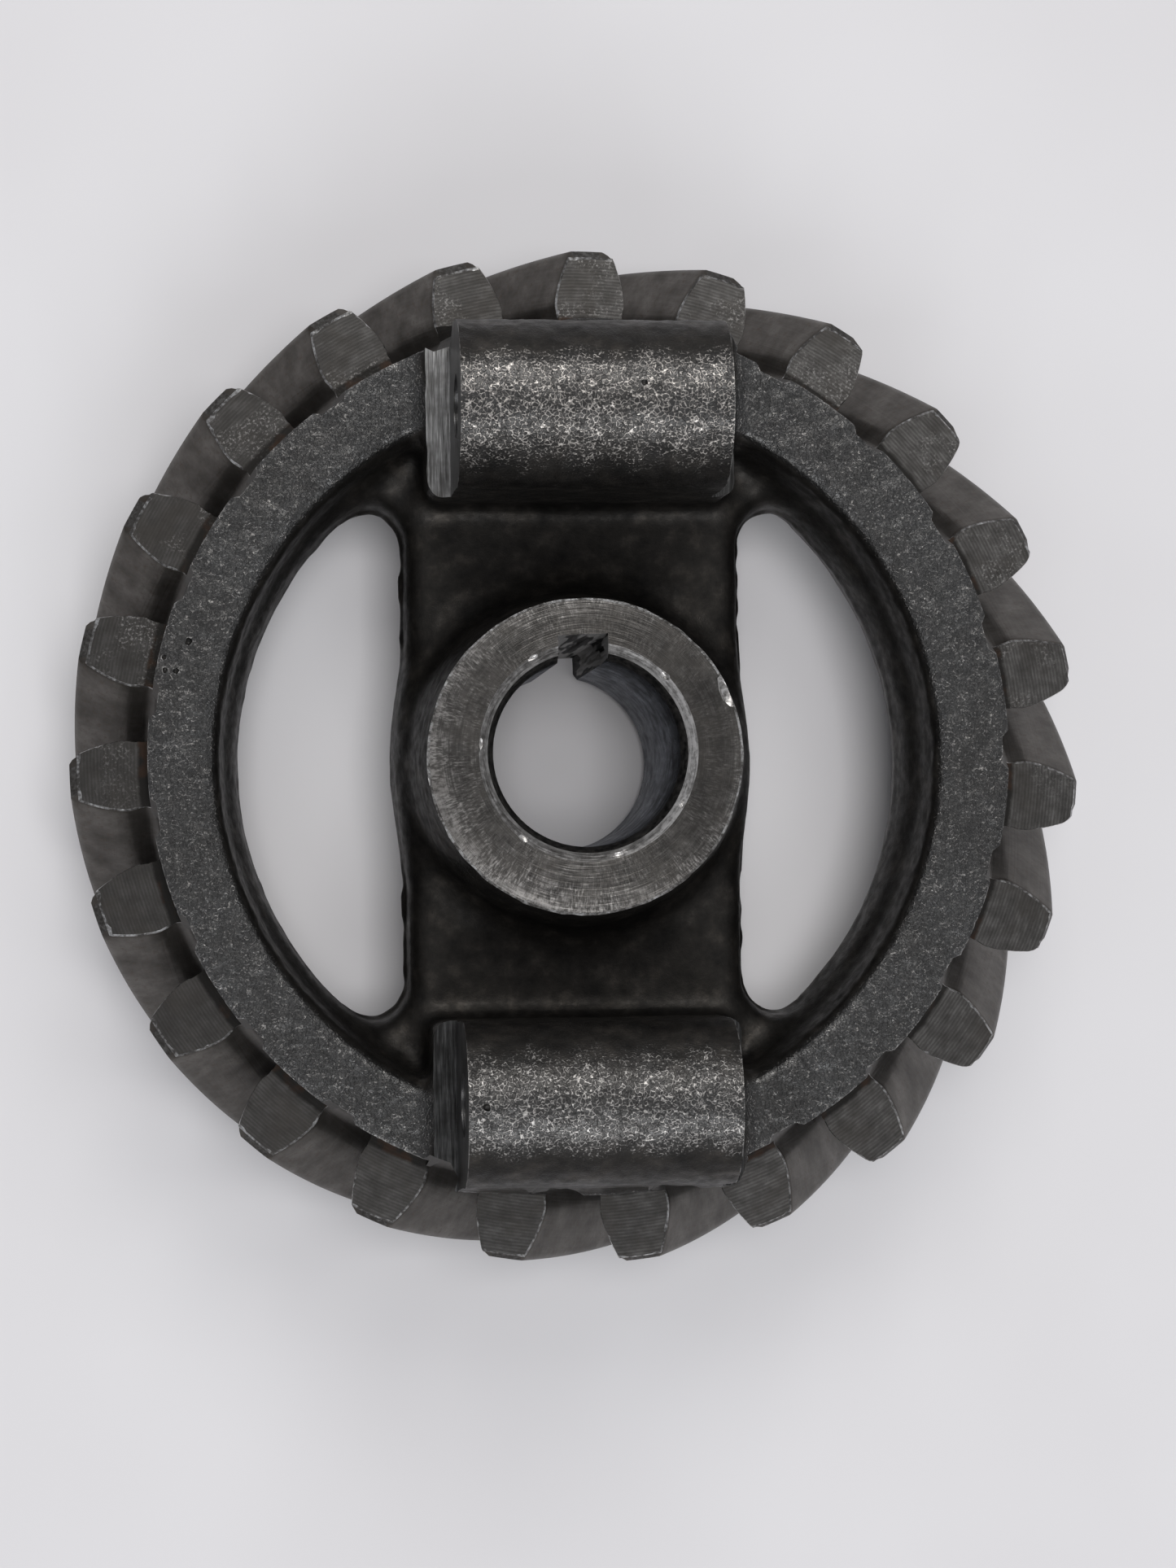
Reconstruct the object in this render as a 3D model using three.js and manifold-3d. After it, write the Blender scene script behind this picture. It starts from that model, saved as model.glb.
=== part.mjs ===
// Cast-iron helical timing gear with two governor-weight pivot bosses.
// Millimetres, +Z up. The origin is on the bore axis at the lower hub face, and +Y runs
// along the web bar towards the upper boss. The gear is one casting. It is built here as
// its functional sections, each a closed solid, with JOINT_GAP left between neighbours.
import * as THREE from 'three';
import { mergeVertices } from 'three/addons/utils/BufferGeometryUtils.js';
import Module from 'manifold-3d';

const wasm = await Module();
wasm.setup();

const DEG = Math.PI / 180;
const JOINT_GAP = 0.3;

// How far a cutting solid runs past the face that it cuts.
const PAST = 1;

// Heights above the lower hub face.
const HUB_TOP = 46.1;
const TOOTH_TOP = 36.5;
const FACE_WIDTH = 31.75;
const TOOTH_BOTTOM = TOOTH_TOP - FACE_WIDTH;
const RING_TOP = 39.65;
const PARTING = 24.0;
const WEB_TOP = 30.2;
const WEB_BOTTOM = 11.0;
const LEDGE_TOP = 41.8;

// Teeth: 23, left hand, 14.5 degrees normal pressure angle.
const TEETH = 23;
const TIP_RADIUS = 65.1;
const PITCH_RADIUS = 60.7;
const BASE_RADIUS = 58.0;
const ROOT_RADIUS = 54.4;
const PITCH_THICKNESS = 8.25;
const ROOT_FILLET = 1.5;
const TIP_CHAMFER = 0.65;
const TWIST_PER_MM = 0.622 * DEG;
const FIRST_TOOTH = 88.15 * DEG;
const TWIST_STEPS = 8;
const ENVELOPE_STEPS = 4;
const ENVELOPE_START = TOOTH_TOP - 2;
const FLANK_RADII = [56.2, 58.4, 60.7, 63.0];

// The casting's centre, seen from the axis that the bore and the teeth were cut about.
const CAST_SHIFT = [-0.3, -0.5, 0];
const BOSS_SHIFT = [-0.1, -0.5, 0];

// Rim: drafted inner wall, widest opening at both faces and narrowest at the parting plane.
const RIM_SPLIT_RADIUS = 51.0;
const RING_RADIUS = 55.2;
const RIM_INNER_AT_PARTING = 44.4;
const UPPER_DRAFT = 6.0 * DEG;
const LOWER_DRAFT = 9.5 * DEG;
const RIM_EDGE_ROUND = 0.8;

// Sides of the faceted rounds.
const ROUND_SEGMENTS = 84;
const HUB_SEGMENTS = 72;
const PIN_SEGMENTS = 18;
const BARREL_SEGMENTS = 20;
const CORNER_SEGMENTS = 10;

// Web bar and the two D windows beside it.
const BAR_HALF_WIDTH = 22.1;
const WINDOW_CORNER = 5.1;
const WINDOW_REACH = 48;

// Hub, with a cast wall; bore, with a bevel and a steep lead-in at its upper end and a flare
// at its lower end; and keyway.
const HUB_RADIUS = 20.3;
const HUB_RADIUS_AT_PARTING = 23.0;
const HUB_EDGE = 0.3;
const BORE_RADIUS = 11.9;
const BEVEL = { outer: 13.95, inner: 12.7, depth: 0.9 };
const LEAD_IN_DEPTH = 1.6;
const FLARE = { radius: 12.9, height: 5.0 };
const KEY_WIDTH = 6.35;
const KEY_REACH = 14.8;
const KEY_ANGLE = 2.3 * DEG;

// Pivot bosses: a barrel across the bar on a wider pedestal with milled ledges.
const BOSS_DISTANCE = 43.0;
const BOSS_AXIS_HEIGHT = 53.4;
const BOSS_RADIUS = 10.2;
const BOSS_LENGTH = 33.3;
const PEDESTAL_LENGTH = 39.2;
const PEDESTAL_INNER = 33.1;
const PEDESTAL_OUTER = 55.4;
const PEDESTAL_CORNER = 1.2;
const PEDESTAL_SHOULDER = 5.1;
const PIN_BORE_RADIUS = 3.97;

const CAST_SKIN = { color: 0x3a3a3b, roughness: 0.6, metalness: 0.75 };
const OILY_SKIN = { color: 0x201f1e, roughness: 0.5, metalness: 0.6 };
const MACHINED_FACE = { color: 0x77767a, roughness: 0.42, metalness: 0.9 };
const TOOTH_FINISH = { color: 0x55524f, roughness: 0.45, metalness: 0.85 };

// A closed three.js geometry as a solid: only positions kept, shared points merged.
function solid(geometry) {
  const bare = geometry.clone();
  bare.deleteAttribute('normal');
  bare.deleteAttribute('uv');
  const merged = mergeVertices(bare, 1e-4);
  const index = merged.index.array;
  const triangles = [];
  for (let i = 0; i < index.length; i += 3) {
    const [a, b, c] = [index[i], index[i + 1], index[i + 2]];
    if (a !== b && b !== c && c !== a) triangles.push(a, b, c);
  }
  return new wasm.Manifold(new wasm.Mesh({
    numProp: 3,
    vertProperties: new Float32Array(merged.attributes.position.array),
    triVerts: new Uint32Array(triangles),
  }));
}

// A solid back as a flat-shaded mesh with its own material.
function meshOf(body, name, finish) {
  const { vertProperties, triVerts } = body.getMesh();
  const geometry = new THREE.BufferGeometry();
  geometry.setAttribute('position', new THREE.BufferAttribute(new Float32Array(vertProperties), 3));
  geometry.setIndex(new THREE.BufferAttribute(new Uint32Array(triVerts), 1));
  geometry.computeVertexNormals();
  const mesh = new THREE.Mesh(geometry, new THREE.MeshStandardMaterial(finish));
  mesh.name = name;
  return mesh;
}

// A solid of revolution about Z from [radius, height] points listed anticlockwise.
function revolved(points, segments = ROUND_SEGMENTS) {
  const profile = [...points, points[0]].map(([r, z]) => new THREE.Vector2(r, z));
  return solid(new THREE.LatheGeometry(profile, segments).rotateX(Math.PI / 2));
}

// An outline in the XY plane carried up from one height to another.
function prism(shape, from, to, curveSegments = CORNER_SEGMENTS) {
  const options = { depth: to - from, bevelEnabled: false, curveSegments };
  return solid(new THREE.ExtrudeGeometry(shape, options).translate(0, 0, from));
}

// An outline in the YZ plane carried along X, centred on x = 0.
function alongX(shape, length, curveSegments) {
  const options = { depth: length, bevelEnabled: false, curveSegments };
  const toWorld = new THREE.Matrix4().makeBasis(
    new THREE.Vector3(0, 1, 0), new THREE.Vector3(0, 0, 1), new THREE.Vector3(1, 0, 0));
  const geometry = new THREE.ExtrudeGeometry(shape, options).translate(0, 0, -length / 2);
  return solid(geometry.applyMatrix4(toWorld));
}

function polygon(points) {
  return new THREE.Shape(points.map(([x, y]) => new THREE.Vector2(x, y)));
}

function involute(angle) {
  return Math.tan(angle) - angle;
}

// Half of the angle that one tooth covers at a radius; below the base circle it stays radial.
function halfToothAngle(radius) {
  const pitchAngle = Math.acos(BASE_RADIUS / PITCH_RADIUS);
  const localAngle = Math.acos(Math.min(1, BASE_RADIUS / radius));
  return PITCH_THICKNESS / 2 / PITCH_RADIUS + involute(pitchAngle) - involute(localAngle);
}

// The whole toothed outline, anticlockwise, one tooth after another.
function toothedOutline() {
  const points = [];
  const rise = [...FLANK_RADII, TIP_RADIUS];
  for (let k = 0; k < TEETH; k++) {
    const centre = FIRST_TOOTH + (k * 2 * Math.PI) / TEETH;
    const rootHalf = halfToothAngle(FLANK_RADII[0]) + ROOT_FILLET / ROOT_RADIUS;
    const add = (radius, offset) => {
      points.push([radius * Math.cos(centre + offset), radius * Math.sin(centre + offset)]);
    };
    add(ROOT_RADIUS, -rootHalf);
    rise.forEach((radius) => add(radius, -halfToothAngle(radius)));
    [...rise].reverse().forEach((radius) => add(radius, halfToothAngle(radius)));
    add(ROOT_RADIUS, rootHalf);
  }
  return points;
}

// The toothed outline twisted about Z. The listed heights are its layers, and the first and
// last layers draw the tips in by the chamfer.
function twistedTeeth(heights, chamfer) {
  const steps = heights.length - 1;
  const options = { depth: steps, steps, bevelEnabled: false };
  const geometry = new THREE.ExtrudeGeometry(polygon(toothedOutline()), options);
  const position = geometry.attributes.position;
  const point = new THREE.Vector3();
  const axis = new THREE.Vector3(0, 0, 1);
  for (let i = 0; i < position.count; i++) {
    point.fromBufferAttribute(position, i);
    const layer = Math.round(point.z);
    const height = heights[layer];
    const atEnd = layer === 0 || layer === steps;
    const reach = Math.hypot(point.x, point.y);
    const limit = atEnd ? TIP_RADIUS - chamfer : TIP_RADIUS;
    const scale = Math.min(1, limit / reach);
    point.set(point.x * scale, point.y * scale, height);
    point.applyAxisAngle(axis, -TWIST_PER_MM * (height - TOOTH_TOP));
    position.setXYZ(i, point.x, point.y, point.z);
  }
  return solid(geometry);
}

function layerHeights(from, to, steps, chamfer) {
  const inner = Array.from({ length: steps + 1 }, (_, i) =>
    from + chamfer + ((to - from - 2 * chamfer) * i) / steps);
  return chamfer > 0 ? [from, ...inner, to] : inner;
}

// Radius of the rim's inner wall at a height.
function rimInner(height) {
  const draft = height > PARTING ? UPPER_DRAFT : LOWER_DRAFT;
  return RIM_INNER_AT_PARTING + Math.abs(height - PARTING) * Math.tan(draft);
}

// The rim's outer skin, turned about the bore axis: the tooth ring's seat and the step above it.
function rimBlank(clearance) {
  const bottom = TOOTH_BOTTOM - clearance;
  const top = RING_TOP + clearance;
  const step = TOOTH_TOP + JOINT_GAP - clearance;
  return revolved([
    [0, bottom],
    [RIM_SPLIT_RADIUS + clearance, bottom],
    [RIM_SPLIT_RADIUS + clearance, step],
    [RING_RADIUS + clearance, step],
    [RING_RADIUS + clearance, top],
    [0, top],
  ]);
}

// What the rim's drafted inner wall surrounds, about the casting's own centre.
function rimOpening(clearance) {
  const top = RING_TOP;
  const round = RIM_EDGE_ROUND;
  return revolved([
    [0, TOOTH_BOTTOM - PAST],
    [rimInner(TOOTH_BOTTOM - PAST) - clearance, TOOTH_BOTTOM - PAST],
    [RIM_INNER_AT_PARTING - clearance, PARTING],
    [rimInner(top) - clearance, top - round],
    [rimInner(top) + round - clearance, top],
    [rimInner(top) + round - clearance, top + PAST],
    [0, top + PAST],
  ]).translate(CAST_SHIFT);
}

function castRim() {
  return rimBlank(0)
    .subtract(rimOpening(0))
    .intersect(cutterEnvelope(TOOTH_BOTTOM - PAST, RING_TOP + PAST));
}

function toothRing() {
  const teeth = twistedTeeth(layerHeights(TOOTH_BOTTOM, TOOTH_TOP, TWIST_STEPS, TIP_CHAMFER), TIP_CHAMFER);
  const inner = RIM_SPLIT_RADIUS + JOINT_GAP;
  const below = TOOTH_BOTTOM - PAST;
  const above = TOOTH_TOP + PAST;
  const opening = new THREE.Shape().absarc(0, 0, inner, 0, 2 * Math.PI);
  return teeth.subtract(prism(opening, below, above, ROUND_SEGMENTS / 2));
}

// Hub section grown by a clearance, filled to the axis, about the casting's own centre.
function hubCore(clearance) {
  const top = HUB_TOP;
  const edge = HUB_EDGE;
  return revolved([
    [0, 0],
    [HUB_RADIUS - edge + clearance, 0],
    [HUB_RADIUS + clearance, edge],
    [HUB_RADIUS_AT_PARTING + clearance, PARTING],
    [HUB_RADIUS + clearance, top - edge],
    [HUB_RADIUS - edge + clearance, top],
    [0, top],
  ], HUB_SEGMENTS).translate(CAST_SHIFT);
}

function keyedHub() {
  const bevelFoot = HUB_TOP - BEVEL.depth;
  const bore = revolved([
    [0, -PAST],
    [FLARE.radius, -PAST],
    [FLARE.radius, 0],
    [BORE_RADIUS, FLARE.height],
    [BORE_RADIUS, bevelFoot - LEAD_IN_DEPTH],
    [BEVEL.inner, bevelFoot],
    [BEVEL.outer, HUB_TOP],
    [BEVEL.outer, HUB_TOP + PAST],
    [0, HUB_TOP + PAST],
  ], HUB_SEGMENTS);
  const half = KEY_WIDTH / 2;
  const slot = polygon([[-half, 0], [half, 0], [half, KEY_REACH], [-half, KEY_REACH]]);
  const turn = new THREE.Matrix4().makeRotationZ(KEY_ANGLE);
  const options = { depth: HUB_TOP + 2 * PAST, bevelEnabled: false };
  const keyway = new THREE.ExtrudeGeometry(slot, options).translate(0, 0, -PAST).applyMatrix4(turn);
  return hubCore(0).subtract(bore).subtract(solid(keyway));
}

// The D window on one side: straight along the bar, round along the rim, with round corners.
// It reaches past the rim's wall, so that nothing is left between the web and the rim.
function windowPrism(side) {
  const cornerX = BAR_HALF_WIDTH + WINDOW_CORNER;
  const cornerReach = RIM_INNER_AT_PARTING - WINDOW_CORNER;
  const cornerY = Math.sqrt(cornerReach ** 2 - cornerX ** 2);
  const meet = Math.atan2(cornerY, cornerX);
  const shape = new THREE.Shape();
  shape.absarc(0, 0, WINDOW_REACH, -meet, meet, false);
  shape.absarc(cornerX, cornerY, WINDOW_CORNER, meet, Math.PI, false);
  shape.absarc(cornerX, -cornerY, WINDOW_CORNER, Math.PI, 2 * Math.PI - meet, false);
  const body = prism(shape, WEB_BOTTOM - PAST, WEB_TOP + PAST);
  return body.rotate([0, 0, side > 0 ? 0 : 180]).translate(CAST_SHIFT);
}

// One arm of the web bar, from the hub to the rim, side +1 towards +Y.
function webArm(side) {
  const core = revolved([
    [0, WEB_BOTTOM],
    [rimInner(WEB_BOTTOM) - JOINT_GAP, WEB_BOTTOM],
    [RIM_INNER_AT_PARTING - JOINT_GAP, PARTING],
    [rimInner(WEB_TOP) - JOINT_GAP, WEB_TOP],
    [0, WEB_TOP],
  ]).translate(CAST_SHIFT);
  const reach = WINDOW_REACH;
  const half = polygon([[-reach, 0], [reach, 0], [reach, reach], [-reach, reach]]);
  const halfSpace = prism(half, WEB_BOTTOM - PAST, WEB_TOP + PAST)
    .rotate([0, 0, side > 0 ? 0 : 180])
    .translate(CAST_SHIFT);
  return core.intersect(halfSpace)
    .subtract(windowPrism(1))
    .subtract(windowPrism(-1))
    .subtract(hubCore(JOINT_GAP));
}

// A rectangle with its two inner corners rounded, as seen from above.
function pedestalOutline() {
  const x = PEDESTAL_LENGTH / 2;
  const r = PEDESTAL_CORNER;
  const shape = new THREE.Shape();
  shape.moveTo(x, PEDESTAL_OUTER);
  shape.lineTo(-x, PEDESTAL_OUTER);
  shape.lineTo(-x, PEDESTAL_INNER + r);
  shape.absarc(-x + r, PEDESTAL_INNER + r, r, Math.PI, 1.5 * Math.PI, false);
  shape.absarc(x - r, PEDESTAL_INNER + r, r, -0.5 * Math.PI, 0, false);
  return shape;
}

// The barrel's end outline in the YZ plane: round on top, running down to the pedestal.
function barrelOutline() {
  const inner = BOSS_DISTANCE - BOSS_RADIUS;
  const shape = new THREE.Shape();
  shape.moveTo(PEDESTAL_INNER, LEDGE_TOP);
  shape.lineTo(PEDESTAL_OUTER, LEDGE_TOP);
  shape.lineTo(BOSS_DISTANCE + BOSS_RADIUS, BOSS_AXIS_HEIGHT);
  shape.absarc(BOSS_DISTANCE, BOSS_AXIS_HEIGHT, BOSS_RADIUS, 0, Math.PI, false);
  shape.lineTo(inner, BOSS_AXIS_HEIGHT - PEDESTAL_SHOULDER);
  return shape;
}

// What the gear cutter leaves standing above the tooth faces: the root cylinder and the teeth.
function cutterEnvelope(bottom, top) {
  const heights = layerHeights(ENVELOPE_START, top, ENVELOPE_STEPS, 0);
  const core = new THREE.Shape().absarc(0, 0, ROOT_RADIUS, 0, 2 * Math.PI);
  return twistedTeeth(heights, 0).add(prism(core, bottom, top, ROUND_SEGMENTS / 2));
}

// A shape made for the upper boss, put in its place on side +1 (towards +Y) or -1.
function placedBoss(body, side) {
  return body.rotate([0, 0, side > 0 ? 0 : 180]).translate(BOSS_SHIFT);
}

// A pivot boss with its pedestal and pin bore.
function pivotBoss(side) {
  const pedestal = prism(pedestalOutline(), WEB_TOP + JOINT_GAP, LEDGE_TOP);
  const barrel = alongX(barrelOutline(), BOSS_LENGTH, BARREL_SEGMENTS);
  const pinCircle = new THREE.Shape().absarc(
    BOSS_DISTANCE, BOSS_AXIS_HEIGHT, PIN_BORE_RADIUS, 0, 2 * Math.PI);
  const pinBore = alongX(pinCircle, PEDESTAL_LENGTH, PIN_SEGMENTS);
  const overTeeth = revolved([
    [RIM_SPLIT_RADIUS, TOOTH_BOTTOM],
    [TIP_RADIUS + PAST, TOOTH_BOTTOM],
    [TIP_RADIUS + PAST, TOOTH_TOP + JOINT_GAP],
    [RIM_SPLIT_RADIUS, TOOTH_TOP + JOINT_GAP],
  ]);
  const standing = cutterEnvelope(ENVELOPE_START, BOSS_AXIS_HEIGHT + BOSS_RADIUS + PAST);
  const boss = placedBoss(pedestal.add(barrel), side)
    .subtract(rimBlank(JOINT_GAP).subtract(rimOpening(JOINT_GAP)))
    .subtract(overTeeth)
    .intersect(standing)
    .subtract(placedBoss(pinBore, side));
  return largest(boss);
}

// The main body, without the slivers that a grazing cut leaves beside it.
function largest(body) {
  return body.decompose().reduce((best, piece) => (piece.volume() > best.volume() ? piece : best));
}

const group = new THREE.Group();
group.add(
  meshOf(toothRing(), 'tooth_ring', TOOTH_FINISH),
  meshOf(castRim(), 'cast_rim', CAST_SKIN),
  meshOf(keyedHub(), 'keyed_hub', MACHINED_FACE),
  meshOf(webArm(1), 'upper_web_arm', OILY_SKIN),
  meshOf(webArm(-1), 'lower_web_arm', OILY_SKIN),
  meshOf(pivotBoss(1), 'upper_pivot_boss', CAST_SKIN),
  meshOf(pivotBoss(-1), 'lower_pivot_boss', CAST_SKIN),
);

export default group;
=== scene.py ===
# Looks of a cast-iron helical timing gear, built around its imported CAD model.
# The casting is worked out as one distance field and meshed, machined by boolean cuts, and
# then parted into its sections. The tooth ring is built from its toothed outline. Points are
# millimetres until a mesh is made from them, and every mesh is in metres.
import math

import bmesh
import bpy
import numpy as np
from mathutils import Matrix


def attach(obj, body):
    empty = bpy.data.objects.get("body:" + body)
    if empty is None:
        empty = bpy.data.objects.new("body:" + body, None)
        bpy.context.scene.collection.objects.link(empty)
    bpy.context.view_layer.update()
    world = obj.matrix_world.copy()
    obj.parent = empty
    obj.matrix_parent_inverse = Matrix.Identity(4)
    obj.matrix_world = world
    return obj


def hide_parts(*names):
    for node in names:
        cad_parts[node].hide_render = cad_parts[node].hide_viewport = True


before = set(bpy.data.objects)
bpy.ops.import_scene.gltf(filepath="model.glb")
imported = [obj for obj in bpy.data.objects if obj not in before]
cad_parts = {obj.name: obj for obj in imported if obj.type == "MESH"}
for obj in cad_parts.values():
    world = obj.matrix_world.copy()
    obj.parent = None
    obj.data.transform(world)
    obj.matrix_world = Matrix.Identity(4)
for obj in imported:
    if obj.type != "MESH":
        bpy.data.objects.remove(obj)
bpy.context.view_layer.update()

import openvdb

MM = 0.001
TAU = 2 * math.pi

# Heights above the lower hub face.
HUB_TOP = 46.1
TOOTH_TOP = 36.5
TOOTH_BOTTOM = 4.75
RING_TOP = 39.65
PARTING = 24.0
WEB_TOP = 30.2
WEB_BOTTOM = 11.0
LEDGE_TOP = 41.8
BOSS_AXIS_HEIGHT = 53.4
ABOVE_ALL = 66.0

# Teeth.
TEETH = 23
TIP_RADIUS = 65.1
PITCH_RADIUS = 60.7
BASE_RADIUS = 58.0
ROOT_RADIUS = 54.4
PITCH_THICKNESS = 8.25
ROOT_FILLET = 1.5
TIP_CHAMFER = 0.65
FOOT_RADIUS = 56.0
TWIST_PER_MM = math.radians(0.622)
FIRST_TOOTH = math.radians(88.15)

# The gear cutter cleared a round path above the teeth. From this height it swings outward.
HOB_RADIUS = 32.0
HOB_STOP = 43.0

# Rim, web and windows, about the casting's own centre.
CAST_X, CAST_Y = -0.38, -0.55
SPLIT_RADIUS = 51.0
RING_RADIUS = 55.2
RIM_INNER = 44.4
UPPER_DRAFT = math.tan(math.radians(6.0))
LOWER_DRAFT = math.tan(math.radians(9.5))
BAR_SHIFT = 0.28
BAR_HALF_WIDTH = 22.1
WINDOW_CORNER = 5.1

# Hub, bore and keyway.
HUB_RADIUS = 19.95
HUB_RADIUS_AT_PARTING = 23.0
BORE_RADIUS = 11.9
BEVEL_OUTER, BEVEL_INNER, BEVEL_DEPTH = 13.95, 12.7, 0.9
LEAD_IN_DEPTH = 1.6
FLARE_RADIUS, FLARE_HEIGHT = 12.9, 5.0
KEY_WIDTH = 6.35
KEY_REACH = 14.8
KEY_ANGLE = math.radians(2.3)

# Pivot bosses.
BOSS_X, BOSS_Y = -0.1, -0.5
BOSS_DISTANCE = 43.0
BOSS_RADIUS = 10.12
INNER_SLOPE, OUTER_SLOPE = 0.02, 0.12
BOSS_LENGTH = 33.3
PEDESTAL_LENGTH = 39.2
PIN_RADIUS = 3.97
UPPER_BULGE = 0.5

# Where the casting is parted into its sections. Inside the open windows the rim's share
# reaches further in, so that it takes its own flash.
RIM_SHARE_RADIUS = 43.4
RIM_SHARE_TOP = 40.2
FLASH_INNER, FLASH_OUTER = 38, 45
FLASH_ARC = math.radians(47)
HUB_SHARE_RADIUS = 25.0
BOSS_SHARE_START = 29
BOSS_FOOT = 31.6
BELOW_ALL = -8
OUTSIDE_ALL = 70
END_OF_PARTING = 60

# Fillets between the casting's sections, and the rounding of its edges.
WEB_TO_RIM, WEB_TO_HUB, WEB_TO_BOSS = 3.5, 5.0, 3.0
RIM_EDGE, WEB_EDGE, PEDESTAL_EDGE = 2.2, 3.6, 2.4
FLASH_FILLET = 0.9

# Metal that the casting carries beyond its finished faces.
RING_STOCK, BACK_STOCK, HUB_STOCK = 0.15, 1.0, 1.4

# ---- distance field of the casting
VOXEL = 0.45
BAND = 1.8
REACH = 60.0
LOW, HIGH = -2.5, ABOVE_ALL


def steps(low, high):
    """Grid places along one axis."""
    return np.arange(low, high + VOXEL, VOXEL, dtype=np.float32)


X = steps(-REACH, REACH)[:, None, None]
Y = steps(-REACH, REACH)[None, :, None]
Z = steps(LOW, HIGH)[None, None, :]
GRID_CORNER = np.array([X.ravel()[0], Y.ravel()[0], Z.ravel()[0]])
CAST_RADIUS = np.hypot(X - CAST_X, Y - CAST_Y)
SPREAD = np.where(Z > PARTING, (Z - PARTING) * UPPER_DRAFT, (PARTING - Z) * LOWER_DRAFT)


def eased(part):
    """A share from 0 to 1, with its change slowed at both ends."""
    return part * part * (3 - 2 * part)


def join(a, b, blend):
    """Union of two fields, with a fillet in the corner between them."""
    h = np.maximum(blend - np.abs(a - b), 0) / blend
    return np.minimum(a, b) - h * h * (blend / 4)


def meet(a, b, blend):
    """Intersection of two fields, with a rounded edge."""
    return -join(-a, -b, blend)


def lattice_noise(cell, seed):
    """Smooth random field from -1 to 1 over the grid, with one bump or dip about every cell."""
    rng = np.random.default_rng(seed)
    weights = []
    for points in (X.ravel(), Y.ravel(), Z.ravel()):
        place = (points - points[0]) / cell
        low = place.astype(int)
        part = eased(place - low)
        matrix = np.zeros((len(points), low[-1] + 2), np.float32)
        row = np.arange(len(points))
        matrix[row, low] = 1 - part
        matrix[row, low + 1] = part
        weights.append(matrix)
    in_x, in_y, in_z = weights
    values = rng.uniform(-1, 1, (in_x.shape[1], in_y.shape[1], in_z.shape[1])).astype(np.float32)
    values = np.tensordot(in_x, values, (1, 0))
    values = np.einsum("yb,xbc->xyc", in_y, values, optimize=True)
    return np.einsum("zc,xyc->xyz", in_z, values, optimize=True)


def window_field():
    """Plan distance to the nearer D window: negative inside it, positive in the metal."""
    corner_x = BAR_HALF_WIDTH + WINDOW_CORNER
    reach = RIM_INNER - WINDOW_CORNER
    corner_y = math.sqrt(reach**2 - corner_x**2)
    x = np.abs(X - CAST_X - BAR_SHIFT)
    y = np.abs(Y - CAST_Y)
    to_bar = corner_x - x
    to_arc = CAST_RADIUS - reach
    to_corner = np.hypot(x - corner_x, y - corner_y)
    in_corner = (to_bar > 0) & (y > corner_y) | (x > corner_x) & (y * corner_x > x * corner_y)
    return np.where(in_corner, to_corner, np.maximum(to_bar, to_arc)) - WINDOW_CORNER


def rim_field():
    """The rim and its raised ring, drafted on the inside."""
    body = meet(RIM_INNER + SPREAD - CAST_RADIUS, Z - RING_TOP, RIM_EDGE)
    body = np.maximum(body, np.hypot(X, Y) - (RING_RADIUS + RING_STOCK))
    return np.maximum(body, TOOTH_BOTTOM - BACK_STOCK - Z)


def web_field(window):
    """The slab between the hub and the rim, open at the windows."""
    middle = (WEB_TOP + WEB_BOTTOM) / 2
    slab = np.abs(Z - middle) - (WEB_TOP - middle)
    body = meet(SPREAD - window, slab, WEB_EDGE)
    return np.maximum(body, CAST_RADIUS - (RIM_INNER + 4))


def hub_field():
    """The hub's cast wall, narrower towards both of its faces."""
    rise = (HUB_RADIUS_AT_PARTING - HUB_RADIUS) / (HUB_TOP - PARTING)
    fall = (HUB_RADIUS_AT_PARTING - HUB_RADIUS) / PARTING
    narrowing = np.where(Z > PARTING, (Z - PARTING) * rise, (PARTING - Z) * fall)
    wall = CAST_RADIUS - HUB_RADIUS_AT_PARTING + narrowing
    return np.maximum(wall, np.abs(Z - HUB_TOP / 2) - (HUB_TOP / 2 + HUB_STOCK))


def boss_field(side):
    """A pivot boss: a barrel across the bar, over a block whose long sides slope."""
    x = X - BOSS_X
    y = (Y - BOSS_Y) * side
    drop = BOSS_AXIS_HEIGHT - Z
    outward = 1 + (y > BOSS_DISTANCE) * (side > 0) * UPPER_BULGE / BOSS_RADIUS
    barrel = np.hypot((y - BOSS_DISTANCE) / outward, drop) - BOSS_RADIUS
    inner = BOSS_DISTANCE - BOSS_RADIUS + drop * INNER_SLOPE - y
    outer = y - (BOSS_DISTANCE + BOSS_RADIUS + (side > 0) * UPPER_BULGE + drop * OUTER_SLOPE)
    body = np.where(drop < 0, barrel, np.maximum(inner, outer))
    body = meet(body, np.abs(x) - PEDESTAL_LENGTH / 2, PEDESTAL_EDGE)
    return np.maximum(body, PARTING - Z)


def casting_field():
    """The whole casting, with its lumps and its parting-line flash."""
    window = window_field()
    body = join(rim_field(), web_field(window), WEB_TO_RIM)
    body = join(body, hub_field(), WEB_TO_HUB)
    for side in (1, -1):
        body = join(body, boss_field(side), WEB_TO_BOSS)
    on_top = np.clip((Z - WEB_TOP - 2) / 4, 0.35, 1)
    body = body + lattice_noise(3.1, 11) * 0.08 + lattice_noise(1.2, 12) * 0.10 * on_top
    overhang = 0.25 + 0.45 * lattice_noise(1.9, 13)
    flash = np.maximum(np.abs(Z - PARTING) - 0.4, -window - overhang)
    flash = np.maximum(flash, CAST_RADIUS - (RIM_INNER + 1))
    return join(body, flash, FLASH_FILLET)


def mesh_of_field(field):
    """Points in millimetres, and quads, on the zero surface of a field."""
    grid = openvdb.FloatGrid(BAND)
    grid.copyFromArray(np.clip(field, -BAND, BAND))
    points, quads = grid.convertToQuads(0.0)
    return points * VOXEL + GRID_CORNER, quads


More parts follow.
